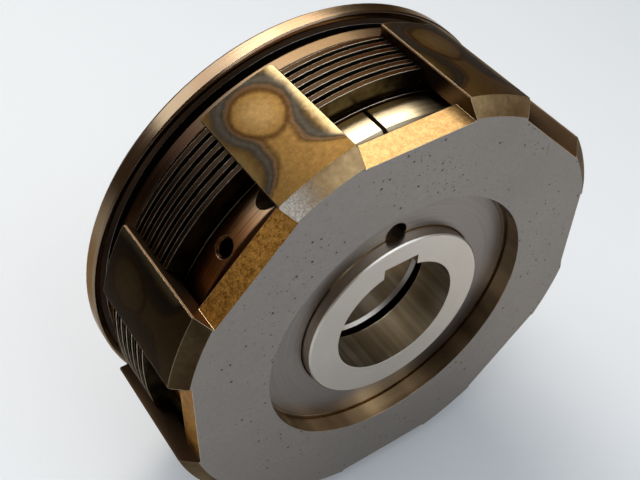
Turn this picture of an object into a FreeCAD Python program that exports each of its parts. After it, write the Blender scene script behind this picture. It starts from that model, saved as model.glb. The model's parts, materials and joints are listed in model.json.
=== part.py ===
"""Electromagnetic multi-disc clutch that couples two shafts end to end.

The shaft axis is Y. The driver faces -Y and the coil faces +Y. The origin is the
centre of the bore mouth on the front hub's face, and the keyways point to +Z.
Lengths are in millimetres.
"""
import FreeCAD, Part
import math
import os

V = FreeCAD.Vector
AXIS = V(0, 1, 0)

# ---- shaft seats, the same in both hubs
BORE_R = 17.5
KEY_WIDTH = 10.0
KEY_DEPTH = 2.4
BORE_CHAMFER = 0.9

# ---- running room
SLIDE_GAP = 0.06           # between neighbours of the released disc pack
PIN_FIT = 0.04             # radial room round the pull pins
THREAD_FIT = 0.05          # radial room in the nut's thread
EDGE_BREAK = 0.4           # small chamfer on turned edges
SEAT_GAP = 0.05            # under the clamp screw's head, so that it turns freely
TOUCH = 1e-4               # how near counts as lying on a surface

# ---- driver: a flat-fronted bell with eight fingers
FACE_Y = -2.0
BELL_R = 63.9
BELL_INNER_R = 58.5
FACE_R = 60.2
BEVEL_BACK_Y = 1.2
PLATE_BACK_Y = 5.0
FINGER_TIP_Y = 34.1
WINDOW_COUNT = 8
WINDOW_WIDTH = 29.2
FLAT_DISTANCE = 57.9       # from the axis to each milled flat
WINDOW_FLOOR = 54.0        # the windows open right through the bell's wall
RECESS_R = 38.4
RECESS_FLOOR_Y = 3.3
RELIEF_WIDTH = 0.8         # turned relief in the corner of the recess
RELIEF_DEPTH = 0.6
WEB_R = 41.0
WEB_BACK_Y = 8.7
NOTCH_R = 3.0
NOTCH_CENTRE = 27.0
NOTCH_DEPTH = 3.5
TIP_ROUND = 1.2
FLANK_CHAMFER = 0.35

# ---- front hub, pressed in the driver
HUB_R = 25.9
HUB_BACK_Y = 11.7
HUB_COLLAR_R = 29.5

# ---- disc pack: six outer discs between seven inner discs
OUTER_DISCS = 6
INNER_DISCS = OUTER_DISCS + 1
OUTER_THICK = 1.4
INNER_THICK = 1.28
PITCH = OUTER_THICK + INNER_THICK + 2 * SLIDE_GAP
FIRST_OUTER_Y = 17.5
OUTER_BODY_R = 57.9
OUTER_BORE_R = 43.9
LUG_R = 61.4
LUG_WIDTH = 28.6
INNER_DISC_R = 56.2

# ---- inner body, on the second shaft
BODY_FRONT_Y = 14.5
BODY_BACK_Y = 58.0
BODY_NECK_R = 26.0
DRUM_FRONT_Y = 16.7
SPLINE_ROOT_R = 41.0
SPLINE_TIP_R = 43.0
SPLINE_TEETH = 24
SPLINE_WIDTH = 5.4
SPLINE_ROOM = 0.25
COLLAR_R = 47.0
COLLAR_FRONT_Y = 36.2
REAR_NECK_R = 24.0

# ---- end plate that the pack is squeezed against
END_PLATE_R = 60.0
END_LAND_R = 56.6
END_FLANGE_Y = 34.6
END_BACK_Y = 38.8
END_BORE_R = SPLINE_TIP_R + 0.02

# ---- armature, pull pins and nut carrier
TRAVEL = 0.72
AIR_GAP_LEFT = 0.2         # air gap that remains when the armature is pulled in
ARMATURE_R = 56.5
ARMATURE_BORE_R = 24.6
ARMATURE_FRONT_Y = 39.3
ARMATURE_BACK_Y = 43.2
PIN_COUNT = 6
PIN_R = 3.0
PIN_CIRCLE_R = 35.5
PIN_PHASE = 30.0
CARRIER_FRONT_Y = 9.9
CARRIER_BACK_Y = 15.9
CARRIER_BORE_R = 31.0
CARRIER_R = 44.0

# ---- split adjusting nut and its clamp screw
NUT_R = 55.7
NUT_FRONT_Y = 7.0
NUT_BACK_Y = FIRST_OUTER_Y - 2 * SLIDE_GAP - INNER_THICK
NUT_CHAMFER = 1.5
NUT_PHASE = -2.2           # turns the slit a little off the keyway
SLIT_WIDTH = 1.1
TOMMY_HOLES = 8            # equal places, the first of which is the slit
TOMMY_R = 2.1
TOMMY_DEPTH = 7.0
TOMMY_SINK = 0.6
SCREW_HEIGHT = 50.2
SCREW_R = 2.0
SCREW_HOLE_R = 2.05
SCREW_HEAD_R = 3.5
SCREW_HEAD_LENGTH = 4.0
SCREW_HEAD_X = -9.0
SCREW_END_X = 14.0
SCREW_POCKET_R = 3.7
SOCKET_WIDTH = 3.0
SOCKET_DEPTH = 2.2

# ---- magnet body, a steel pot with its coil slot open to the front
POLE_Y = ARMATURE_BACK_Y + TRAVEL + AIR_GAP_LEFT
LIP_R = 59.4
LIP_BORE_R = 57.4
LIP_FRONT_Y = 41.6
RIM_BACK_Y = 47.2
POT_R = 51.0
POT_BACK_Y = 53.5
SLOT_INNER_R = 37.0
SLOT_OUTER_R = 48.0
SLOT_FLOOR_Y = 50.7

# ---- coil in its former, under a cover ring
FORMER_WALL = 0.9
COVER_THICK = 1.2
COVER_SINK = 0.1

# ---- slip ring on its insulator
RING_R = 62.9
RING_BORE_R = 60.9
RING_FRONT_Y = 41.3
RING_BACK_Y = 45.6
INSULATOR_BACK_Y = 46.6
TERMINAL_Y = 45.7
TERMINAL_R = 0.8
BUSH_R = 1.2
TERMINAL_ANGLE = 180.0

# ---- return springs between the inner pole and the armature
SPRING_COUNT = 6
SPRING_CIRCLE_R = 30.8
SPRING_COIL_R = 2.1
SPRING_WIRE_R = 0.35
SPRING_POCKET_R = 2.8
SPRING_POCKET_Y = 50.0
SPRING_TURNS = 4
SPRING_END_ROOM = 0.1

# ---- fixings at the back
CIRCLIP_Y = POT_BACK_Y + 0.05
CIRCLIP_THICK = 1.75
CIRCLIP_R = 28.5
CIRCLIP_GROOVE = 1.2
CIRCLIP_GAP = 12.0
MAGNET_KEY_WIDTH = 6.0
MAGNET_KEY_LENGTH = 7.0
MAGNET_KEY_HALF = 2.6
EARTH_SCREW_R = 2.0
EARTH_HEAD_R = 3.6
EARTH_HEAD_HEIGHT = 2.0
EARTH_CIRCLE_R = 42.5
EARTH_DEPTH = 2.2


# ---------------------------------------------------------------- helpers

def rod(radius, y0, y1):
    """Cylinder on the shaft axis from y0 to y1."""
    return Part.makeCylinder(radius, y1 - y0, V(0, y0, 0), AXIS)


def ring(outer, inner, y0, y1):
    """Plain ring on the shaft axis."""
    return rod(outer, y0, y1).cut(rod(inner, y0 - 1, y1 + 1))


def turned(*outline):
    """Solid of revolution about the shaft axis from (radius, y) corners."""
    points = [V(r, y, 0) for r, y in outline]
    face = Part.Face(Part.makePolygon(points + points[:1]))
    return face.revolve(V(0, 0, 0), AXIS, 360)


def turn(shape, degrees):
    """Copy turned about the shaft axis."""
    copy = shape.copy()
    copy.rotate(V(0, 0, 0), AXIS, degrees)
    return copy


def around(shape, count, phase=0.0):
    """Copies of a shape at equal angles about the shaft axis."""
    return [turn(shape, phase + 360.0 * i / count) for i in range(count)]


def cut_all(shape, tools):
    """Shape with every tool cut out of it."""
    return shape.cut(Part.makeCompound(tools))


def bar(width, y0, y1, z0, z1):
    """Box centred on X that points up along Z."""
    return Part.makeBox(width, y1 - y0, z1 - z0, V(-width / 2, y0, z0))


def pin_at(radius, circle_r, y0, y1):
    """Cylinder parallel to the axis, above it by circle_r."""
    return Part.makeCylinder(radius, y1 - y0, V(0, y0, circle_r), AXIS)


def keyway(y0, y1):
    """Tool that cuts the hub keyway above the bore."""
    return bar(KEY_WIDTH, y0 - 1, y1 + 1, 0, BORE_R + KEY_DEPTH)


def spline_bars(width, tip_r, y0, y1):
    """The spline's teeth as radial bars trimmed to the tip radius."""
    teeth = around(bar(width, y0, y1, SPLINE_ROOT_R - 4, tip_r + 1), SPLINE_TEETH)
    return Part.makeCompound(teeth).common(rod(tip_r, y0, y1))


def chamfered_ring(outer, inner, y0, y1, chamfer):
    """Ring with both outer edges broken."""
    return turned((inner, y0), (outer - chamfer, y0), (outer, y0 + chamfer),
                  (outer, y1 - chamfer), (outer - chamfer, y1), (inner, y1))


# ---------------------------------------------------------------- driver side

def straight_edges(shape, fits):
    """Straight edges whose two ends both pass a test."""
    lines = [edge for edge in shape.Edges if isinstance(edge.Curve, Part.Line)]
    return [edge for edge in lines if all(fits(vertex.Point) for vertex in edge.Vertexes)]


def tip_corners(bell):
    """Edges across the wall at the sides of each finger's tip."""
    return straight_edges(bell, lambda point: abs(point.y - FINGER_TIP_Y) < TOUCH)


def flank_edges(bell):
    """Outer edges that run along each finger behind the bevel."""
    def on_outside(point):
        return abs(math.hypot(point.x, point.z) - BELL_R) < TOUCH
    return straight_edges(bell, on_outside)


def driver():
    bell = turned((RECESS_R, FACE_Y), (FACE_R, FACE_Y), (BELL_R, BEVEL_BACK_Y),
                  (BELL_R, FINGER_TIP_Y), (BELL_INNER_R, FINGER_TIP_Y),
                  (BELL_INNER_R, PLATE_BACK_Y), (WEB_R, PLATE_BACK_Y), (WEB_R, WEB_BACK_Y),
                  (HUB_R, WEB_BACK_Y), (HUB_R, RECESS_FLOOR_Y + EDGE_BREAK),
                  (HUB_R + EDGE_BREAK, RECESS_FLOOR_Y),
                  (RECESS_R - RELIEF_WIDTH, RECESS_FLOOR_Y),
                  (RECESS_R - RELIEF_WIDTH, RECESS_FLOOR_Y + RELIEF_DEPTH),
                  (RECESS_R, RECESS_FLOOR_Y + RELIEF_DEPTH))
    flat = bar(WINDOW_WIDTH, FACE_Y - 1, PLATE_BACK_Y, FLAT_DISTANCE, BELL_R + 1)
    window = bar(WINDOW_WIDTH, PLATE_BACK_Y, FINGER_TIP_Y + 1, WINDOW_FLOOR, BELL_R + 1)
    bell = cut_all(bell, around(flat.fuse(window), WINDOW_COUNT))
    bell = bell.makeFillet(TIP_ROUND, tip_corners(bell))
    bell = bell.makeChamfer(FLANK_CHAMFER, flank_edges(bell))
    notch = pin_at(NOTCH_R, NOTCH_CENTRE, RECESS_FLOOR_Y - 1, RECESS_FLOOR_Y + NOTCH_DEPTH)
    return bell.cut(notch)


def front_hub():
    hub = turned((BORE_R, 0), (HUB_R - EDGE_BREAK, 0), (HUB_R, EDGE_BREAK),
                 (HUB_R, WEB_BACK_Y), (HUB_COLLAR_R, WEB_BACK_Y),
                 (HUB_COLLAR_R, HUB_BACK_Y), (BORE_R, HUB_BACK_Y))
    return hub.cut(keyway(0, HUB_BACK_Y))


# ---------------------------------------------------------------- disc pack

def outer_disc(index):
    """Driven by the bell: eight lugs reach into the windows."""
    y0 = FIRST_OUTER_Y + index * PITCH
    y1 = y0 + OUTER_THICK
    lugs = around(bar(LUG_WIDTH, y0, y1, 0, LUG_R + 1), WINDOW_COUNT)
    star = lugs[0].fuse(lugs[1:]).common(rod(LUG_R, y0, y1))
    return star.fuse(rod(OUTER_BODY_R, y0, y1)).cut(rod(OUTER_BORE_R, y0 - 1, y1 + 1)).removeSplitter()


def inner_disc(index):
    """Driven by the inner body's spline."""
    y1 = FIRST_OUTER_Y + index * PITCH - SLIDE_GAP
    y0 = y1 - INNER_THICK
    disc = rod(INNER_DISC_R, y0, y1)
    bore = rod(SPLINE_ROOT_R + SPLINE_ROOM, y0 - 1, y1 + 1)
    slots = spline_bars(SPLINE_WIDTH + 2 * SPLINE_ROOM, SPLINE_TIP_R + SPLINE_ROOM, y0 - 1, y1 + 1)
    return disc.cut(bore).cut(slots)


# ---------------------------------------------------------------- inner body side

def pin_holes(y0, y1):
    hole = pin_at(PIN_R + PIN_FIT, PIN_CIRCLE_R, y0 - 1, y1 + 1)
    return around(hole, PIN_COUNT, PIN_PHASE)


def key_bar():
    """The magnet key's own shape, half in the neck and half in the pot."""
    y0 = POT_BACK_Y - MAGNET_KEY_LENGTH
    low = REAR_NECK_R - MAGNET_KEY_HALF
    return bar(MAGNET_KEY_WIDTH, y0, POT_BACK_Y, low, REAR_NECK_R + MAGNET_KEY_HALF)


def inner_body():
    body = turned((BORE_R + BORE_CHAMFER, BODY_FRONT_Y), (BODY_NECK_R, BODY_FRONT_Y),
                  (BODY_NECK_R, DRUM_FRONT_Y), (SPLINE_ROOT_R, DRUM_FRONT_Y),
                  (SPLINE_ROOT_R, COLLAR_FRONT_Y), (COLLAR_R, COLLAR_FRONT_Y),
                  (COLLAR_R, END_BACK_Y), (REAR_NECK_R, END_BACK_Y),
                  (REAR_NECK_R, BODY_BACK_Y - EDGE_BREAK), (REAR_NECK_R - EDGE_BREAK, BODY_BACK_Y),
                  (BORE_R, BODY_BACK_Y), (BORE_R, BODY_FRONT_Y + BORE_CHAMFER))
    teeth = spline_bars(SPLINE_WIDTH, SPLINE_TIP_R, DRUM_FRONT_Y, COLLAR_FRONT_Y)
    body = body.fuse(teeth).removeSplitter()
    groove = ring(REAR_NECK_R + 1, REAR_NECK_R - CIRCLIP_GROOVE, CIRCLIP_Y, CIRCLIP_Y + CIRCLIP_THICK)
    tools = [keyway(BODY_FRONT_Y, BODY_BACK_Y), groove, key_bar()]
    return cut_all(body, tools + pin_holes(DRUM_FRONT_Y, END_BACK_Y))


def end_plate():
    land_y = FIRST_OUTER_Y + OUTER_DISCS * PITCH
    return turned((END_BORE_R, land_y), (END_LAND_R, land_y), (END_LAND_R, END_FLANGE_Y),
                  (END_PLATE_R - EDGE_BREAK, END_FLANGE_Y), (END_PLATE_R, END_FLANGE_Y + EDGE_BREAK),
                  (END_PLATE_R, END_BACK_Y - EDGE_BREAK), (END_PLATE_R - EDGE_BREAK, END_BACK_Y),
                  (COLLAR_R, END_BACK_Y), (COLLAR_R, COLLAR_FRONT_Y), (END_BORE_R, COLLAR_FRONT_Y))


def magnet_body():
    pot = turned((REAR_NECK_R, POLE_Y), (LIP_BORE_R, POLE_Y), (LIP_BORE_R, LIP_FRONT_Y),
                 (LIP_R, LIP_FRONT_Y), (LIP_R, RIM_BACK_Y), (POT_R, RIM_BACK_Y),
                 (POT_R, POT_BACK_Y - EDGE_BREAK), (POT_R - EDGE_BREAK, POT_BACK_Y),
                 (REAR_NECK_R, POT_BACK_Y))
    slot = ring(SLOT_OUTER_R, SLOT_INNER_R, POLE_Y - 1, SLOT_FLOOR_Y)
    pockets = around(pin_at(SPRING_POCKET_R, SPRING_CIRCLE_R, POLE_Y - 1, SPRING_POCKET_Y), SPRING_COUNT)
    earth = turn(pin_at(EARTH_SCREW_R, EARTH_CIRCLE_R, POT_BACK_Y - EARTH_DEPTH, POT_BACK_Y + 1),
                 TERMINAL_ANGLE)
    return cut_all(pot, [slot, key_bar(), earth, radial_rod(BUSH_R, LIP_R + 1)] + pockets)


# ---------------------------------------------------------------- coil and slip ring

def coil_former():
    """Channel that lines the coil slot."""
    front = POLE_Y + COVER_SINK + COVER_THICK
    channel = ring(SLOT_OUTER_R, SLOT_INNER_R, front, SLOT_FLOOR_Y)
    space = ring(SLOT_OUTER_R - FORMER_WALL, SLOT_INNER_R + FORMER_WALL, front - 1,
                 SLOT_FLOOR_Y - FORMER_WALL)
    return channel.cut(space)


def coil_winding():
    front = POLE_Y + COVER_SINK + COVER_THICK
    return ring(SLOT_OUTER_R - FORMER_WALL, SLOT_INNER_R + FORMER_WALL, front,
                SLOT_FLOOR_Y - FORMER_WALL)


def coil_cover_ring():
    front = POLE_Y + COVER_SINK
    return ring(SLOT_OUTER_R, SLOT_INNER_R, front, front + COVER_THICK)


def slip_ring():
    lead_in = EDGE_BREAK
    return turned((RING_BORE_R + lead_in, RING_FRONT_Y), (RING_R - EDGE_BREAK, RING_FRONT_Y),
                  (RING_R, RING_FRONT_Y + EDGE_BREAK), (RING_R, RING_BACK_Y - EDGE_BREAK),
                  (RING_R - EDGE_BREAK, RING_BACK_Y), (RING_BORE_R, RING_BACK_Y),
                  (RING_BORE_R, RING_FRONT_Y + lead_in))


def slip_ring_insulator():
    """Sleeve under the slip ring with a flange behind it."""
    flange_r = RING_R - 1.0
    sleeve = turned((LIP_R, LIP_FRONT_Y), (RING_BORE_R, LIP_FRONT_Y), (RING_BORE_R, RING_BACK_Y),
                    (flange_r, RING_BACK_Y), (flange_r, INSULATOR_BACK_Y),
                    (LIP_R, INSULATOR_BACK_Y))
    return sleeve.cut(radial_rod(TERMINAL_R, RING_BORE_R))


def radial_rod(radius, outer_end):
    """Rod that runs outwards from the coil slot's wall."""
    start = V(0, TERMINAL_Y, SLOT_OUTER_R)
    up = Part.makeCylinder(radius, outer_end - SLOT_OUTER_R, start, V(0, 0, 1))
    return turn(up, TERMINAL_ANGLE)


def terminal_pin():
    """Joins the winding's lead to the slip ring; its end is trimmed to the ring's bore."""
    trim = rod(RING_BORE_R, RING_FRONT_Y, POT_BACK_Y)
    return radial_rod(TERMINAL_R, RING_R).common(trim)


def terminal_bush():
    tube = radial_rod(BUSH_R, RING_R).cut(radial_rod(TERMINAL_R, RING_R))
    return tube.common(rod(LIP_R, RING_FRONT_Y, POT_BACK_Y))


# ---------------------------------------------------------------- armature side

def armature():
    plate = chamfered_ring(ARMATURE_R, ARMATURE_BORE_R, ARMATURE_FRONT_Y, ARMATURE_BACK_Y, EDGE_BREAK)
    holes = around(pin_at(PIN_R, PIN_CIRCLE_R, ARMATURE_FRONT_Y - 1, ARMATURE_BACK_Y + 1),
                   PIN_COUNT, PIN_PHASE)
    return cut_all(plate, holes)


def pull_pins():
    pin = pin_at(PIN_R, PIN_CIRCLE_R, CARRIER_FRONT_Y, ARMATURE_BACK_Y)
    return Part.makeCompound(around(pin, PIN_COUNT, PIN_PHASE))


def nut_carrier():
    """Ring on the pins' front ends, with the adjusting nut's thread outside."""
    carrier = ring(CARRIER_R - THREAD_FIT, CARRIER_BORE_R, CARRIER_FRONT_Y, CARRIER_BACK_Y)
    holes = around(pin_at(PIN_R, PIN_CIRCLE_R, CARRIER_FRONT_Y - 1, CARRIER_BACK_Y + 1),
                   PIN_COUNT, PIN_PHASE)
    return cut_all(carrier, holes)


def along_x(radius, x0, x1):
    """Cylinder along the clamp screw's line."""
    middle_y = (NUT_FRONT_Y + NUT_BACK_Y) / 2
    return Part.makeCylinder(radius, x1 - x0, V(x0, middle_y, SCREW_HEIGHT), V(1, 0, 0))


def tommy_hole():
    """Radial hole with a countersunk mouth."""
    middle = V(0, (NUT_FRONT_Y + NUT_BACK_Y) / 2, NUT_R - TOMMY_DEPTH)
    hole = Part.makeCylinder(TOMMY_R, TOMMY_DEPTH + 1, middle, V(0, 0, 1))
    mouth = V(middle.x, middle.y, NUT_R - TOMMY_SINK)
    sink = Part.makeCone(TOMMY_R, TOMMY_R + 2 * TOMMY_SINK, 2 * TOMMY_SINK, mouth, V(0, 0, 1))
    return hole.fuse(sink)


def adjusting_nut():
    blank = turned((CARRIER_R, NUT_FRONT_Y), (NUT_R - NUT_CHAMFER, NUT_FRONT_Y),
                   (NUT_R, NUT_FRONT_Y + NUT_CHAMFER), (NUT_R, NUT_BACK_Y - EDGE_BREAK),
                   (NUT_R - EDGE_BREAK, NUT_BACK_Y), (CARRIER_R, NUT_BACK_Y))
    slit = bar(SLIT_WIDTH, NUT_FRONT_Y - 1, NUT_BACK_Y + 1, CARRIER_R - 2, NUT_R + 1)
    pocket = along_x(SCREW_POCKET_R, -NUT_R, SCREW_HEAD_X + SEAT_GAP)
    screw_hole = along_x(SCREW_HOLE_R, SCREW_HEAD_X - 1, SCREW_END_X + 1)
    tools = [slit, pocket, screw_hole] + around(tommy_hole(), TOMMY_HOLES)[1:]
    return turn(cut_all(blank, tools), NUT_PHASE)


def clamp_screw():
    """Socket-head screw that pulls the nut's slit together."""
    shank = along_x(SCREW_R, SCREW_HEAD_X, SCREW_END_X)
    head_end = SCREW_HEAD_X - SCREW_HEAD_LENGTH
    head = along_x(SCREW_HEAD_R, head_end, SCREW_HEAD_X)
    middle_y = (NUT_FRONT_Y + NUT_BACK_Y) / 2
    corners = [V(head_end, middle_y + SOCKET_WIDTH / math.sqrt(3) * math.cos(math.radians(60 * i)),
                 SCREW_HEIGHT + SOCKET_WIDTH / math.sqrt(3) * math.sin(math.radians(60 * i)))
               for i in range(6)]
    socket = Part.Face(Part.makePolygon(corners + corners[:1])).extrude(V(SOCKET_DEPTH, 0, 0))
    return turn(shank.fuse(head).cut(socket).removeSplitter(), NUT_PHASE)


# ---------------------------------------------------------------- small parts at the back

def return_springs():
    """Springs in the inner pole's pockets, drawn at their squeezed length."""
    y0 = SPRING_POCKET_Y - SPRING_WIRE_R - SPRING_END_ROOM
    front = ARMATURE_BACK_Y + TRAVEL + SPRING_WIRE_R + SPRING_END_ROOM
    length = y0 - front
    pitch = length / SPRING_TURNS
    helix = Part.makeHelix(pitch, length, SPRING_COIL_R)
    start = V(SPRING_COIL_R, 0, 0)
    wire_end = Part.Wire(Part.makeCircle(SPRING_WIRE_R, start, V(0, 1, 0)))
    spring = Part.Wire(helix).makePipeShell([wire_end], True, True)
    spring.rotate(V(0, 0, 0), V(1, 0, 0), 90)
    spring.translate(V(0, y0, SPRING_CIRCLE_R))
    return Part.makeCompound(around(spring, SPRING_COUNT))


def retaining_ring():
    """Open circlip in the rear neck's groove."""
    clip = ring(CIRCLIP_R, REAR_NECK_R - CIRCLIP_GROOVE, CIRCLIP_Y, CIRCLIP_Y + CIRCLIP_THICK)
    return clip.cut(turn(bar(CIRCLIP_GAP, CIRCLIP_Y - 1, CIRCLIP_Y + 3, 0, CIRCLIP_R + 1), 180))


def earth_screw():
    """Takes the coil's second lead to the pot."""
    shank = pin_at(EARTH_SCREW_R, EARTH_CIRCLE_R, POT_BACK_Y - EARTH_DEPTH, POT_BACK_Y)
    head = pin_at(EARTH_HEAD_R, EARTH_CIRCLE_R, POT_BACK_Y, POT_BACK_Y + EARTH_HEAD_HEIGHT)
    slot = bar(2 * EARTH_HEAD_R + 1, POT_BACK_Y + EARTH_HEAD_HEIGHT / 2,
               POT_BACK_Y + EARTH_HEAD_HEIGHT + 1, EARTH_CIRCLE_R - 0.5, EARTH_CIRCLE_R + 0.5)
    return turn(shank.fuse(head).cut(slot).removeSplitter(), TERMINAL_ANGLE)


# ---------------------------------------------------------------- export

NODES = {
    "driver": driver,
    "front_hub": front_hub,
    "inner_body": inner_body,
    "end_plate": end_plate,
    "magnet_body": magnet_body,
    "magnet_key": key_bar,
    "coil_former": coil_former,
    "coil_winding": coil_winding,
    "coil_cover_ring": coil_cover_ring,
    "slip_ring": slip_ring,
    "slip_ring_insulator": slip_ring_insulator,
    "terminal_pin": terminal_pin,
    "terminal_bush": terminal_bush,
    "armature": armature,
    "pull_pins": pull_pins,
    "nut_carrier": nut_carrier,
    "adjusting_nut": adjusting_nut,
    "clamp_screw": clamp_screw,
    "return_springs": return_springs,
    "retaining_ring": retaining_ring,
    "earth_screw": earth_screw,
}


def export(name, shape):
    if not shape.isValid():
        raise ValueError(name + " is not a valid solid")
    shape.exportStep("parts/" + name + ".step")
    box = shape.BoundBox
    print("%-20s %8.0f mm3  y %.2f to %.2f  solids %d"
          % (name, shape.Volume, box.YMin, box.YMax, len(shape.Solids)))


def main():
    os.makedirs("parts", exist_ok=True)
    for name, make in NODES.items():
        export(name, make())
    for index in range(OUTER_DISCS):
        export("outer_disc_%d" % (index + 1), outer_disc(index))
    for index in range(INNER_DISCS):
        export("inner_disc_%d" % (index + 1), inner_disc(index))


main()
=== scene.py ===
"""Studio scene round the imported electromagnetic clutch: finishes, floor, lights and camera.

The shaft axis is Y, the driver faces -Y and the keyways point to +Z. Blender works in metres,
and the finishes work in millimetres, measured on each part from the shaft axis.
"""
import bpy
import json
import math
from mathutils import Matrix, Vector


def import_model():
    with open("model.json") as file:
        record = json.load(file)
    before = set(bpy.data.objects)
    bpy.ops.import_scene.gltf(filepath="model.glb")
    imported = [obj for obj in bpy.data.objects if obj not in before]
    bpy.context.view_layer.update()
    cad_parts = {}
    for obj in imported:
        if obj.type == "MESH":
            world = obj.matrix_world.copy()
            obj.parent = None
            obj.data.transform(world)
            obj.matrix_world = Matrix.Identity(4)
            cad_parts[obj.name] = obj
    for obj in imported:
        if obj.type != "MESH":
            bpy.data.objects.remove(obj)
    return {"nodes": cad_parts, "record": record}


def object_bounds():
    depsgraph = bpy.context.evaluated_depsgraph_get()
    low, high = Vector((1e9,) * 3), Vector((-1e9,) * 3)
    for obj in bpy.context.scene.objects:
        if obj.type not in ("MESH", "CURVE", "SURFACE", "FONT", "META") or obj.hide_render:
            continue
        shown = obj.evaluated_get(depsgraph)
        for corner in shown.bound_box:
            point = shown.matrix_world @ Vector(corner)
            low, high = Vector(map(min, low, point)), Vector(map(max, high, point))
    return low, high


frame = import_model()
cad_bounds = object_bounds()

MM = 0.001
FINGERS = 8
SECTOR = math.radians(360 / FINGERS)     # one finger and one window of the bell
GRAZING = (0.55, 0.45, 0.36)             # tint of most finishes at grazing angles
WEAR_AND_HIGHLIGHT_EDGE = 0.30                         # widths of edges painted bright, as wear and as painted highlight, in millimetres
CRISP_EDGE = 0.25


# ---------------------------------------------------------------- node kit

class Num:
    """A number that varies over a surface. Arithmetic on it adds math nodes."""

    def __init__(self, finish, socket):
        self.finish = finish
        self.socket = socket

    def op(self, kind, *others):
        return self.finish.math(kind, self, *others)

    def __add__(self, other):
        return self.op("ADD", other)

    def __sub__(self, other):
        return self.op("SUBTRACT", other)

    def __rsub__(self, other):
        return self.finish.math("SUBTRACT", other, self)

    def __mul__(self, other):
        return self.op("MULTIPLY", other)

    def __truediv__(self, other):
        return self.op("DIVIDE", other)

    def __lt__(self, other):
        return self.op("LESS_THAN", other)

    def __abs__(self):
        return self.op("ABSOLUTE")

    def squared(self):
        return self * self

    def root(self):
        return self.op("SQRT")

    def fract(self):
        return self.op("FRACT")

    def floor(self):
        return self.op("FLOOR")

    def at_least(self, other):
        return self.op("MAXIMUM", other)

    def blend_min(self, other, softness):
        return self.op("SMOOTH_MIN", other, softness)

    def rise(self, low, high):
        """0 below low, 1 above high and smooth between them."""
        made = self.finish.node("ShaderNodeMapRange", interpolation_type="SMOOTHSTEP")
        for name, value in (("Value", self), ("From Min", low), ("From Max", high)):
            self.finish.feed(made.inputs[name], value)
        return Num(self.finish, made.outputs["Result"])

    def peak(self, centre, half_width):
        """1 at the centre, falling to 0 half a width away."""
        return 1.0 - abs(self - centre).rise(0.0, half_width)


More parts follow.
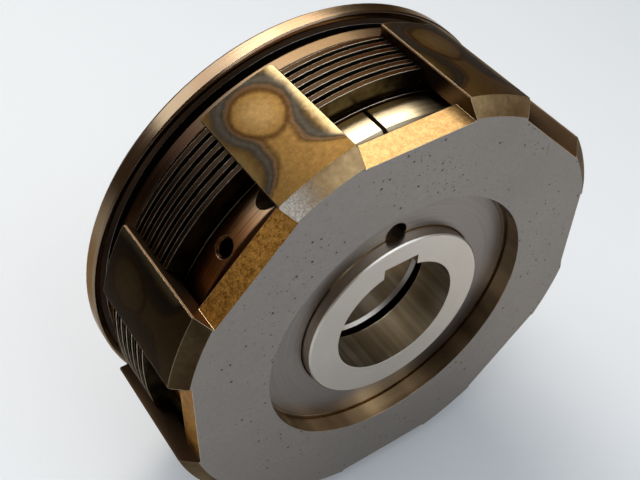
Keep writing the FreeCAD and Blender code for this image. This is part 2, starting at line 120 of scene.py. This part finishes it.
class Finish:
    """One procedural material, with the measures of the part that its patterns use."""

    def __init__(self, name, metallic=1.0):
        self.material = bpy.data.materials.new(name)
        self.material.use_nodes = True
        self.tree = self.material.node_tree
        self.tree.nodes.clear()
        self.shader = self.node("ShaderNodeBsdfPrincipled")
        output = self.node("ShaderNodeOutputMaterial")
        self.link(self.shader.outputs["BSDF"], output.inputs["Surface"])
        self.shader.inputs["Metallic"].default_value = metallic
        self.grazing(GRAZING)
        coordinates = self.node("ShaderNodeTexCoord")
        self.place = self.scaled(coordinates.outputs["Object"], 1.0 / MM)
        self.x, self.y, self.z = self.parts(self.place)
        normal_x, self.normal_y, normal_z = self.parts(coordinates.outputs["Normal"])
        self.radius = (self.x.squared() + self.z.squared()).root()
        self.angle = self.z.op("ARCTAN2", self.x)
        self.outward = (normal_x * self.x + normal_z * self.z) / self.radius

    def node(self, kind, **settings):
        made = self.tree.nodes.new(kind)
        for name, value in settings.items():
            setattr(made, name, value)
        return made

    def link(self, source, target):
        self.tree.links.new(source, target)

    def feed(self, socket, value):
        """Links or sets one input, whichever the value calls for."""
        if isinstance(value, Num):
            self.link(value.socket, socket)
        elif isinstance(value, bpy.types.NodeSocket):
            self.link(value, socket)
        elif isinstance(value, tuple) and len(value) == 3 and socket.type == "RGBA":
            socket.default_value = (*value, 1.0)
        else:
            socket.default_value = value

    def math(self, kind, *values):
        made = self.node("ShaderNodeMath", operation=kind)
        for socket, value in zip(made.inputs, values):
            self.feed(socket, value)
        return Num(self, made.outputs[0])

    def scaled(self, vector, factor):
        made = self.node("ShaderNodeVectorMath", operation="SCALE")
        self.link(vector, made.inputs[0])
        made.inputs["Scale"].default_value = factor
        return made.outputs[0]

    def parts(self, vector):
        made = self.node("ShaderNodeSeparateXYZ")
        self.link(vector, made.inputs[0])
        return [Num(self, socket) for socket in made.outputs]

    def vector(self, x, y, z):
        made = self.node("ShaderNodeCombineXYZ")
        for socket, value in zip(made.inputs, (x, y, z)):
            self.feed(socket, value)
        return made.outputs[0]

    def noise(self, scale, detail=3.0, rough=0.5, vector=None, seed=0.0):
        """Cloudy noise from 0 to 1; scale is in features per millimetre."""
        made = self.node("ShaderNodeTexNoise", noise_dimensions="4D")
        self.link(vector or self.place, made.inputs["Vector"])
        for name, number in (("Scale", scale), ("Detail", detail), ("Roughness", rough), ("W", seed)):
            made.inputs[name].default_value = number
        return Num(self, made.outputs["Fac"])

    def beyond(self, radius, blur):
        """0 inside a radius and 1 outside it, blended over the blur on either side."""
        return self.radius.rise(radius - blur, radius + blur)

    def specks(self, spacing, size, share, shift=0.0):
        """Scattered round marks on a face across the axis, in millimetres; share is how many are kept."""
        made = self.node("ShaderNodeTexVoronoi", voronoi_dimensions="2D")
        self.link(self.vector(self.x + shift, self.z, 0.0), made.inputs["Vector"])
        made.inputs["Scale"].default_value = 1.0 / spacing
        chance, weight, _ = self.parts(made.outputs["Color"])
        near = Num(self, made.outputs["Distance"]) * spacing / (weight * 0.7 + 0.3)
        return (1.0 - near.rise(size * 0.5, size)) * (chance < share)

    def lathe_marks(self, fineness, seed=0.0):
        """Noise drawn out round the axis, as a turning tool leaves it."""
        path = self.vector(self.radius * fineness, self.y * fineness, self.angle * 1.2)
        return self.noise(1.0, 3.0, 0.6, path, seed)

    def streaks(self, fineness, seed):
        """Bands of painted reflection from 0 to 1 that run along the axis, as a bore shows in a bright
        room.
        """
        path = self.vector(self.angle * fineness, self.y * 0.01, 0.0)
        return self.noise(1.0, 2.0, 0.6, path, seed).rise(0.40, 0.62)

    def ramp(self, value, stops, interpolation="LINEAR"):
        """Colour at a value; stops are (value, colour) pairs from 0 to 1."""
        made = self.node("ShaderNodeValToRGB")
        band = made.color_ramp
        band.interpolation = interpolation
        band.elements.remove(band.elements[1])
        for place, colour in stops[1:]:
            band.elements.new(place).color = (*colour, 1.0)
        band.elements[0].position = stops[0][0]
        band.elements[0].color = (*stops[0][1], 1.0)
        self.feed(made.inputs["Fac"], value)
        return made.outputs["Color"]

    def mix(self, amount, first, second, blend="MIX"):
        """Colour that goes from the first to the second."""
        made = self.node("ShaderNodeMix", data_type="RGBA", blend_type=blend)
        sockets = [socket for socket in made.inputs if socket.enabled]
        for socket, value in zip(sockets, (amount, first, second)):
            self.feed(socket, value)
        return [socket for socket in made.outputs if socket.enabled][0]

    def shaded(self, colour, amount):
        """Colour made darker or lighter by a number."""
        return self.mix(1.0, colour, self.grey(amount), "MULTIPLY")

    def grey(self, amount):
        made = self.node("ShaderNodeCombineColor")
        for socket in made.inputs:
            self.feed(socket, amount)
        return made.outputs[0]

    def edge(self, width):
        """1 on edges that are closer than the width, in millimetres, and the rounded normal."""
        bevel = self.node("ShaderNodeBevel", samples=4)
        bevel.inputs["Radius"].default_value = width * MM
        plain = self.node("ShaderNodeNewGeometry")
        dot = self.node("ShaderNodeVectorMath", operation="DOT_PRODUCT")
        self.link(bevel.outputs[0], dot.inputs[0])
        self.link(plain.outputs["Normal"], dot.inputs[1])
        bent = 1.0 - Num(self, dot.outputs["Value"])
        return bent.rise(0.02, 0.2), bevel.outputs[0]

    def finish(self, colour, roughness, height=None, depth=0.01, rounded=None):
        """Wires the shader; depth is the height of the bumps in millimetres."""
        self.feed(self.shader.inputs["Base Color"], colour)
        self.feed(self.shader.inputs["Roughness"], roughness)
        if height is not None:
            bump = self.node("ShaderNodeBump")
            bump.inputs["Distance"].default_value = depth * MM
            self.feed(bump.inputs["Height"], height)
            if rounded is not None:
                self.link(rounded, bump.inputs["Normal"])
            self.link(bump.outputs[0], self.shader.inputs["Normal"])
        return self.material

    def grazing(self, colour):
        """Tint of what is seen at grazing angles."""
        self.shader.inputs["Specular Tint"].default_value = (*colour, 1.0)

    def brushed_round(self, amount):
        """Stretches highlights across marks that run round the shaft."""
        self.shader.inputs["Anisotropic"].default_value = amount
        tangent = self.node("ShaderNodeTangent", direction_type="RADIAL", axis="Y")
        self.link(tangent.outputs[0], self.shader.inputs["Tangent"])


# ---------------------------------------------------------------- the driver's finish

BELL_R = 63.9
FLATS_END_R = 62.0                 # the milled flats lie inside this radius, the fingers outside
RECESS_R = 38.4
RECESS_ZONE_R = 40.5               # the recess's wall lies inside this radius
FACING = (0.90, 0.95)              # how squarely a surface faces outward or inward, as cosines
FRONTAL = (0.93, 0.97)             # how squarely it faces the front
SLANTED = (0.45, 0.60)             # how far a bevel faces the front, at the least
WALL_PAINTED_SHADE = (-5.0, 32.0)          # X where painted shade on the recess's wall begins and is darkest
MILLED_PAINTED_LIGHT = (10.0, 36.0)        # distances towards -X over which the flats go from a duller brown to a stronger gold: painted light and shade
GLINT_ANGLE = math.radians(121)    # painted glint: a highlight painted on one corner of one finger's bevel
GLINT_SPREAD = 0.15
# How light each finger's heat tint and bevel are, from the -X side round by way of -Z.
FINGER_TONES = (0.35, 0.55, 0.42, 0.52, 0.50, 0.34, 0.53, 0.085)
# The two bevels beside +Z are much lighter: painted highlight.
BEVEL_TONES_AND_HIGHLIGHTS = (0.28, 0.38, 0.34, 0.38, 0.38, 0.85, 1.00, 0.16)

INSIDE_BROWNS = ((0.045, 0.026, 0.014), (0.11, 0.068, 0.038))
FACE_GREYS = ((0.30, 0.273, 0.247), (0.37, 0.337, 0.306))
PIT = (0.06, 0.042, 0.028)
RECESS_GREY = (0.285, 0.256, 0.232)
WALL_LIT_AND_SHADED_BROWNS = ((0.66, 0.48, 0.27), (0.34, 0.25, 0.15))
MILLED_BROWNS = ((0.21, 0.120, 0.045), (0.36, 0.235, 0.100))
MILLED_GOLDS = ((0.15, 0.060, 0.010), (0.54, 0.280, 0.062))
BEVEL_BROWNS = ((0.26, 0.155, 0.070), (0.60, 0.42, 0.21))
GLINT = (0.95, 0.91, 0.82)
WEAR_AND_HIGHLIGHT_GOLD = (0.92, 0.76, 0.50)
DRIVER_GRAZING = (0.66, 0.60, 0.56)

# The heat tint of one finger: a spot, and a neck that runs from it to the front. In millimetres.
SPOT_Y = 23.8
SPOT_HALF_WIDTH = 5.6
SPOT_HALF_LENGTH = 7.2
SPOT_TAPER = 0.13                  # how much wider each half gets per millimetre towards the back
NECK_HALF_WIDTH = 3.0
NECK_START_Y = 12.0                # the neck from spot to front widens in front of this
NECK_END_Y = 18.0
MELT = 1.5                         # how softly spot and neck run into each other
DRIFT = 2.6                        # breadth within which the outlines wander
RAGGED = 1.2                       # and within which they are ragged
HALO_START = 1.0                   # how far inside the spot's rim the halo's colours begin
HALO_WIDTH = 8.0
STRAW_SIDE = (7.0, 11.5)           # the lighter straw band along one side of each finger: heat tint, partly painted highlight

STRAW = (0.90, 0.68, 0.36)
GOLD = (0.19, 0.105, 0.030)
TAN = (0.27, 0.165, 0.060)
TINT_DARK = (0.050, 0.022, 0.006)
TINT_BROWN = (0.075, 0.042, 0.013)
TINT_ROSE = (0.110, 0.062, 0.030)
TINT_GREY = (0.055, 0.047, 0.036)
TINT_OLIVE = (0.125, 0.078, 0.026)
TINT_SLATE = (0.038, 0.030, 0.020)
HALO = [(0.0, GOLD), (0.14, TINT_BROWN), (0.22, TINT_ROSE), (0.33, TINT_SLATE), (0.43, TINT_GREY),
        (0.56, TINT_SLATE), (0.68, TINT_BROWN), (0.90, TINT_OLIVE)]


def finger_tone(s, tones):
    """The value that belongs to this finger."""
    place = ((s.angle / SECTOR).floor() + FINGERS / 2 + 0.5) / FINGERS
    return s.ramp(place, [(i / FINGERS, (tone, tone, tone)) for i, tone in enumerate(tones)], "CONSTANT")


def heat_tint(s):
    """Colours that heat has left on each finger: a tan spot in a dark slate halo, and a straw band along
    one side, partly painted highlight.
    """
    ragged = (s.noise(0.8, 3.0, 0.6) - 0.5) * RAGGED
    across = ((s.angle / SECTOR).fract() - 0.5) * (SECTOR * BELL_R)
    across = across + (s.noise(0.09, 2.0, seed=3.0) - 0.5) * DRIFT + ragged
    along = s.y + (s.noise(0.09, 2.0, seed=8.0) - 0.5) * DRIFT + ragged
    spot_half = (along - SPOT_Y) * SPOT_TAPER + SPOT_HALF_WIDTH
    spot = ((across / spot_half).squared() + ((along - SPOT_Y) / SPOT_HALF_LENGTH).squared()).root()
    outside_spot = (spot - 1.0) * SPOT_HALF_WIDTH
    neck_half = (NECK_START_Y - along).at_least(0.0).squared() * 0.12 + NECK_HALF_WIDTH
    outside_neck = abs(across) - neck_half + (along - NECK_END_Y).at_least(0.0) * 2.0
    outside = outside_spot.blend_min(outside_neck, MELT)
    halo = s.ramp((outside + HALO_START) / HALO_WIDTH, HALO)
    # Straw band along one side: heat tint, partly painted highlight.
    halo = s.mix((0.0 - across).rise(*STRAW_SIDE) * outside.rise(1.5, 3.5), halo, STRAW)
    spot_light = s.mix(outside_spot.rise(-4.5, -0.5), TAN, GOLD)
    colour = s.mix(outside_spot.rise(0.6, -0.6), halo, spot_light)
    return s.mix(outside_spot.peak(0.2, 1.2) * 0.8, colour, TINT_DARK)


def driver_zones(s):
    """Where each surface of the bell is, by the way it faces and how far out it lies."""
    frontal = (0.0 - s.normal_y).rise(*FRONTAL)
    outward = s.outward.rise(*FACING)
    past_recess = s.beyond(RECESS_R + 0.1, 0.05)
    past_flats = s.beyond(FLATS_END_R, 0.5)
    return {
        "face": frontal * past_recess,
        "recess": frontal * (1.0 - past_recess),
        "wall": (0.0 - s.outward).rise(*FACING) * (1.0 - s.beyond(RECESS_ZONE_R, 0.5)),
        "bevel": (0.0 - s.normal_y).rise(*SLANTED) * (1.0 - frontal),
        "flat": outward * (1.0 - past_flats),
        "finger": outward * past_flats,
    }


def driver_colours(s, clouds, grain, coarse, marks, pitted):
    """Colour of each surface of the bell."""
    face = s.shaded(s.mix(clouds, *FACE_GREYS), grain * 0.35 + coarse * 0.2 + 0.72)
    # Painted light and shade: the recess's wall is lighter towards -X and darker towards +X.
    wall = s.mix(s.x.rise(*WALL_PAINTED_SHADE), *WALL_LIT_AND_SHADED_BROWNS)
    milling = (grain * 0.6 + coarse * 0.4).rise(0.34, 0.66)
    # Painted light and shade: a duller brown on the flats at the top and towards +X, which the lamps
    # light, a stronger gold towards -X.
    warmth = (0.0 - s.x).rise(*MILLED_PAINTED_LIGHT)
    bevel = s.shaded(s.mix(clouds.rise(0.35, 0.65), *BEVEL_BROWNS), coarse * 0.7 + grain * 0.5 + 0.4)
    # Painted glint: a highlight painted on one corner of the bevel.
    glint = s.angle.peak(GLINT_ANGLE, GLINT_SPREAD) * (grain.rise(0.35, 0.65) * 0.5 + 0.35)
    bevel = s.mix(glint, bevel, GLINT)
    finger = s.shaded(heat_tint(s), grain * 0.8 + coarse * 0.6 + 0.30)
    return {
        "face": s.mix(pitted * 0.85, face, PIT),
        "recess": s.shaded(RECESS_GREY, marks * 0.5 + 0.75),
        # The wall also has streaks of painted reflection.
        "wall": s.shaded(wall, marks * 0.4 + s.streaks(2.2, 7.0) * 0.8 + 0.45),
        "bevel": s.mix(1.0, bevel, finger_tone(s, BEVEL_TONES_AND_HIGHLIGHTS), "MULTIPLY"),
        "flat": s.mix(warmth, s.mix(milling, *MILLED_BROWNS), s.mix(milling, *MILLED_GOLDS)),
        "finger": s.mix(1.0, finger, finger_tone(s, FINGER_TONES), "MULTIPLY"),
    }


def driver_finish():
    """Ground and pitted end face, turned recess, milled flats, bevels and heat-tinted fingers."""
    s = Finish("driver_steel")
    edge, rounded = s.edge(WEAR_AND_HIGHLIGHT_EDGE)
    clouds = s.noise(0.05, 4.0, 0.6)
    grain = s.noise(2.2, 3.0, 0.7)
    coarse = s.noise(0.9, 2.0, 0.6, seed=4.0)
    marks = s.lathe_marks(2.5)
    crowded = s.noise(0.05, 3.0, seed=5.0).rise(0.45, 0.68) * 0.40 + 0.03
    pitted = s.specks(2.1, 0.46, crowded).at_least(s.specks(1.0, 0.26, crowded * 0.8, 40.0) * 0.7)

    on = driver_zones(s)
    colours = driver_colours(s, clouds, grain, coarse, marks, pitted)
    colour = s.mix(clouds, *INSIDE_BROWNS)
    for zone, mask in on.items():
        colour = s.mix(mask, colour, colours[zone])
    outside = on["face"].at_least(on["bevel"]).at_least(on["flat"]).at_least(on["finger"])
    # Edges painted bright gold: wear, and painted highlight.
    colour = s.mix(edge * outside * 0.85, colour, WEAR_AND_HIGHLIGHT_GOLD)

    roughness = on["face"] * 0.16 + on["bevel"] * 0.06 - on["wall"] * 0.18 + 0.34
    roughness = roughness + on["finger"] * 0.08 + grain * 0.14 - coarse * on["finger"] * 0.12
    height = grain * 0.5 + coarse * (on["finger"] + on["bevel"] + on["flat"]) * 0.8
    height = height + marks * (on["recess"] * 0.8 + on["wall"] * 0.5) - pitted * on["face"] * 3.0
    s.brushed_round(0.35)
    s.grazing(DRIVER_GRAZING)
    return s.finish(colour, roughness, height, 0.014, rounded)


# ---------------------------------------------------------------- other finishes

BORE_R = 17.5
BORE_FACING = (0.80, 0.95)         # how squarely a bore's surface faces the shaft axis
HUB_BACK_Y = 11.7                  # back of the front hub
BODY_FRONT_Y = 14.5                # front of the inner body, whose bore is browner
NUT_DARKENING = (28.0, 46.0)           # distances towards -X where the nut's darker reddish brown begins and is complete
BAND_PAINTED_SHADE = (14.0, 38.0)          # the same for painted shade on the end plate's band
WIRE_PITCH = 0.45

BORE_REFLECTION_STEELS = ((0.50, 0.43, 0.33), (0.96, 0.91, 0.78))
DARKENED_BROWNS = ((0.016, 0.009, 0.006), (0.06, 0.032, 0.020))
WEAR_AND_HIGHLIGHT_SILVER = (0.88, 0.84, 0.76)
NUT_STEELS = ((0.42, 0.32, 0.19), (0.72, 0.62, 0.43))
NUT_RED_BROWNS = ((0.13, 0.045, 0.014), (0.28, 0.12, 0.042))
WEAR_AND_HIGHLIGHT_NUT = (0.92, 0.86, 0.72)
WEAR_AND_HIGHLIGHT_DISC = (0.92, 0.80, 0.62)
DISC_GRAZING = (0.25, 0.19, 0.13)
WIRE_LIT_AND_SHADED_COPPERS = ((0.30, 0.09, 0.03), (0.78, 0.36, 0.16))


def turned_steel(name, dark, light, roughness, marks_depth=0.5, warm=None, brushed=0.5, darkened=None,
                 bore_r=None):
    """Steel from the lathe: fine marks round the axis, cloudy staining and bright edges of wear and
    painted highlight.

    A darkened part is brown where the mask, made from the finish's own measures, is 1.
    A bore has lengthwise streaks of painted reflection, and is painted brighter and warmer than the rest.
    """
    s = Finish(name)
    edge, rounded = s.edge(CRISP_EDGE)
    marks = s.lathe_marks(3.0)
    coarse = s.lathe_marks(0.7, 6.0)
    clouds = s.noise(0.07, 4.0, 0.6)
    colour = s.mix(marks * 0.5 + clouds * 0.5, dark, light)
    if warm is not None:
        colour = s.mix(s.noise(0.045, 2.0, seed=2.0).rise(0.4, 0.65) * 0.7, colour, warm)
    if bore_r is not None:
        in_bore = (0.0 - s.outward).rise(*BORE_FACING) * (1.0 - s.beyond(bore_r + 0.2, 0.1))
        # Painted reflection: the bore is brighter and warmer, with lengthwise streaks.
        colour = s.mix(in_bore, colour, s.mix(s.streaks(3.0, 12.0), *BORE_REFLECTION_STEELS))
    if darkened is not None:
        colour = s.mix(darkened(s), colour, s.mix(marks, *DARKENED_BROWNS))
    # Edges painted bright silver: wear, and painted highlight.
    colour = s.mix(edge * 0.5, colour, WEAR_AND_HIGHLIGHT_SILVER)
    rough = marks * 0.12 + coarse * 0.08 + (roughness - 0.1)
    s.brushed_round(brushed)
    return s.finish(colour, rough, marks * marks_depth + coarse * 0.3, 0.008, rounded)


def disc_finish(name, face_dark, face_light, rim):
    """Stamped disc: mottled faces, a sheared rim painted near black, partly as painted shade between the
    discs, and bright edges of wear and painted highlight.
    """
    s = Finish(name)
    edge, rounded = s.edge(CRISP_EDGE)
    on_rim = 1.0 - abs(s.normal_y).rise(0.3, 0.6)
    mottle = s.noise(0.22, 4.0, 0.65)
    marks = s.lathe_marks(2.0)
    shear = s.noise(1.6, 2.0, 0.6, s.vector(s.x * 1.5, s.y * 0.5, s.z * 1.5))
    face = s.mix(mottle.rise(0.35, 0.65), face_dark, face_light)
    face = s.shaded(face, marks * 0.5 + 0.75)
    # The rim is near black: a sheared rim, and painted shade between the discs.
    colour = s.mix(on_rim, face, s.shaded(rim, shear * 0.6 + 0.7))
    # Edges painted bright: wear, and painted highlight.
    colour = s.mix(edge, colour, WEAR_AND_HIGHLIGHT_DISC)
    roughness = marks * 0.15 + mottle * 0.1 + 0.22
    s.brushed_round(0.3)
    s.grazing(DISC_GRAZING)
    return s.finish(colour, roughness, marks * 0.4 + shear * on_rim, 0.01, rounded)


def nut_finish():
    """Brushed bright steel, darker and reddish brown towards -X."""
    s = Finish("nut_steel")
    edge, rounded = s.edge(WEAR_AND_HIGHLIGHT_EDGE)
    marks = s.lathe_marks(4.0)
    brushed = s.lathe_marks(1.3, 4.0)
    clouds = s.noise(0.08, 3.0, 0.6)
    darkened = (s.noise(0.05, 2.0, seed=9.0) * 12.0 - s.x).rise(*NUT_DARKENING)
    colour = s.mix(darkened, s.mix(marks, *NUT_STEELS), s.mix(marks, *NUT_RED_BROWNS))
    colour = s.shaded(colour, brushed.rise(0.3, 0.7) * 0.55 + 0.55)
    # Edges painted bright: wear, and painted highlight.
    colour = s.mix(edge * 0.6, colour, WEAR_AND_HIGHLIGHT_NUT)
    roughness = marks * 0.14 + clouds * 0.10 + 0.22
    s.brushed_round(0.45)
    return s.finish(colour, roughness, marks + brushed, 0.006, rounded)


def moulded(name, dark, light, roughness):
    """Filled plastic with a slightly uneven skin."""
    s = Finish(name, metallic=0.0)
    grain = s.noise(1.2, 3.0, 0.6)
    clouds = s.noise(0.1, 3.0, 0.5)
    colour = s.mix(clouds, dark, light)
    return s.finish(s.shaded(colour, grain * 0.3 + 0.85), grain * 0.15 + roughness, grain, 0.02)


def wound_wire():
    """Enamelled copper: the winding's turns as fine ridges, with painted light on their crowns and painted
    shade between them.
    """
    s = Finish("copper_wire")
    turns = (s.y / WIRE_PITCH).fract().peak(0.5, 0.5) * (s.radius / WIRE_PITCH).fract().peak(0.5, 0.5)
    return s.finish(s.mix(turns, *WIRE_LIT_AND_SHADED_COPPERS), s.noise(0.4) * 0.15 + 0.22, turns, 0.1)


FINISHES = {
    "driver_steel": driver_finish(),
    "hub_steel": turned_steel("hub_steel", (0.53, 0.475, 0.41), (0.76, 0.705, 0.63), 0.32, marks_depth=1.0,
                              brushed=0.6, bore_r=BORE_R,
                              darkened=lambda s: s.y.rise(HUB_BACK_Y, BODY_FRONT_Y) * 0.50),
    # The end plate's band is painted darker towards -X as shade.
    "ground_steel": turned_steel("ground_steel", (0.10, 0.070, 0.042), (0.19, 0.135, 0.085), 0.28,
                                 warm=(0.075, 0.048, 0.025),
                                 darkened=lambda s: (0.0 - s.x).rise(*BAND_PAINTED_SHADE)),
    "pot_steel": turned_steel("pot_steel", (0.11, 0.085, 0.06), (0.21, 0.17, 0.13), 0.36, marks_depth=0.8),
    "ring_steel": turned_steel("ring_steel", (0.18, 0.130, 0.080), (0.31, 0.235, 0.155), 0.17,
                               warm=(0.19, 0.11, 0.065)),
    "nut_steel": nut_finish(),
    "screw_steel": turned_steel("screw_steel", (0.06, 0.06, 0.06), (0.13, 0.13, 0.13), 0.34),
    "spring_steel": turned_steel("spring_steel", (0.12, 0.12, 0.12), (0.22, 0.22, 0.22), 0.30),
    "outer_disc_steel": disc_finish("outer_disc_steel", (0.07, 0.052, 0.025), (0.17, 0.13, 0.065),
                                    (0.022, 0.014, 0.009)),
    "inner_disc_steel": disc_finish("inner_disc_steel", (0.08, 0.045, 0.02), (0.18, 0.10, 0.045),
                                    (0.020, 0.012, 0.007)),
    "cover_brass": turned_steel("cover_brass", (0.48, 0.31, 0.10), (0.68, 0.48, 0.20), 0.30),
    "copper_wire": wound_wire(),
    "former_plastic": moulded("former_plastic", (0.018, 0.018, 0.018), (0.04, 0.04, 0.04), 0.4),
    "insulator_plastic": moulded("insulator_plastic", (0.022, 0.012, 0.007), (0.055, 0.030, 0.017), 0.35),
}


def dress_nodes():
    """Gives each CAD node the finish of its material slot."""
    for subpart in frame["record"]["subparts"]:
        node = frame["nodes"][subpart["node"]]
        for slot in node.material_slots:
            slot.material = FINISHES[subpart["material_slot"]]


# ---------------------------------------------------------------- stage

FLOOR_R = 3.0
FLOOR_SIDES = 64
FLOOR_PAINTED_SHADE = (-140.0, 340.0)      # painted shade: the paper grows darker between these, towards the back right
PAPER_LIT_AND_SHADED_GREYS = ((0.550, 0.560, 0.575), (0.360, 0.375, 0.390))
SKY = (0.76, 0.80, 0.84, 1.0)
ROOM = (0.085, 0.060, 0.042, 1.0)
WARM = (1.0, 0.95, 0.87)
WHITE = (0.96, 0.98, 1.0)
COOL = (0.82, 0.91, 1.0)
MIDDLE = (Vector(cad_bounds[0]) + Vector(cad_bounds[1])) / 2


def floor_finish():
    """Pale bluish paper with a faint tooth, and painted shade that darkens it towards the back right."""
    s = Finish("floor_paper", metallic=0.0)
    clouds = s.noise(0.004, 3.0)
    tooth = s.noise(0.8, 2.0)
    far = (s.x * 0.6 + s.y * 0.8).rise(*FLOOR_PAINTED_SHADE)
    colour = s.shaded(s.mix(far, *PAPER_LIT_AND_SHADED_GREYS), clouds * 0.06 + 0.97)
    return s.finish(colour, tooth * 0.1 + 0.6, tooth, 0.02)


def floor():
    """Round pale sheet under the lowest point of the clutch."""
    level = cad_bounds[0][2]
    corners = [(FLOOR_R * math.cos(2 * math.pi * i / FLOOR_SIDES),
                FLOOR_R * math.sin(2 * math.pi * i / FLOOR_SIDES), level) for i in range(FLOOR_SIDES)]
    mesh = bpy.data.meshes.new("floor")
    mesh.from_pydata(corners, [], [tuple(range(FLOOR_SIDES))])
    mesh.materials.append(floor_finish())
    sheet = bpy.data.objects.new("floor", mesh)
    bpy.context.scene.collection.objects.link(sheet)


def looking(place, target, roll=0.0):
    """Matrix of a thing at a place that looks at a target."""
    facing = (Vector(target) - Vector(place)).to_track_quat("-Z", "Y")
    return Matrix.Translation(place) @ facing.to_matrix().to_4x4() @ Matrix.Rotation(roll, 4, "Z")


def soft_light(name, direction, distance, width, height, power, colour, roll=0):
    """Soft box that lights the clutch from a direction: metres, watts, and degrees for the roll."""
    data = bpy.data.lights.new(name, "AREA")
    data.shape = "RECTANGLE"
    data.size = width
    data.size_y = height
    data.energy = power
    data.color = colour
    light = bpy.data.objects.new(name, data)
    light.matrix_world = looking(MIDDLE + Vector(direction).normalized() * distance, MIDDLE,
                                 math.radians(roll))
    bpy.context.scene.collection.objects.link(light)


def lights():
    """Warm lamps and a white window behind the clutch, and a cool fill in front."""
    soft_light("lamp_back_right", (0.27, 0.56, 0.78), 0.60, 0.54, 0.20, 3.0, WARM, 32)
    soft_light("sky_behind", (0.06, 0.96, 0.26), 0.70, 0.30, 0.30, 1.0, WARM)
    soft_light("window_back", (-0.22, 0.72, 0.68), 0.75, 0.75, 0.35, 2.3, WHITE)
    soft_light("fill_front", (0.35, -0.85, 0.75), 0.85, 0.7, 0.6, 3.0, COOL)


def world():
    """Pale sky to the eye and the paper, and a darker warm room in the steel."""
    made = bpy.data.worlds.new("room")
    made.use_nodes = True
    tree = made.node_tree
    backdrop = tree.nodes["Background"]
    backdrop.inputs["Color"].default_value = SKY
    room = tree.nodes.new("ShaderNodeBackground")
    room.inputs["Color"].default_value = ROOM
    ray = tree.nodes.new("ShaderNodeLightPath")
    mix = tree.nodes.new("ShaderNodeMixShader")
    seen = tree.nodes.new("ShaderNodeMath")
    seen.operation = "MAXIMUM"
    tree.links.new(ray.outputs["Is Camera Ray"], seen.inputs[0])
    tree.links.new(ray.outputs["Is Diffuse Ray"], seen.inputs[1])
    tree.links.new(seen.outputs[0], mix.inputs["Fac"])
    tree.links.new(room.outputs[0], mix.inputs[1])
    tree.links.new(backdrop.outputs[0], mix.inputs[2])
    tree.links.new(mix.outputs[0], tree.nodes["World Output"].inputs["Surface"])
    bpy.context.scene.world = made


# The camera that matches the photo's outlines; lengths are in metres.
AZIMUTH = math.radians(-34.88)
ELEVATION = math.radians(46.05)
ROLL = math.radians(1.84)
AIM = Vector((-0.00791, 0.0230, 0.0118))
CAMERA_DISTANCE = 0.2482
LENS = 55.08


def camera():
    """Stands to the left of the shaft axis and looks down on the driver."""
    data = bpy.data.cameras.new("camera")
    data.lens = LENS
    data.clip_start = 0.01
    back = Vector((math.sin(AZIMUTH) * math.cos(ELEVATION),
                   -math.cos(AZIMUTH) * math.cos(ELEVATION), math.sin(ELEVATION)))
    made = bpy.data.objects.new("camera", data)
    made.matrix_world = looking(AIM + back * CAMERA_DISTANCE, AIM, ROLL)
    bpy.context.scene.collection.objects.link(made)
    bpy.context.scene.camera = made


dress_nodes()
floor()
lights()
world()
camera()
bpy.context.scene.view_settings.view_transform = "Standard"
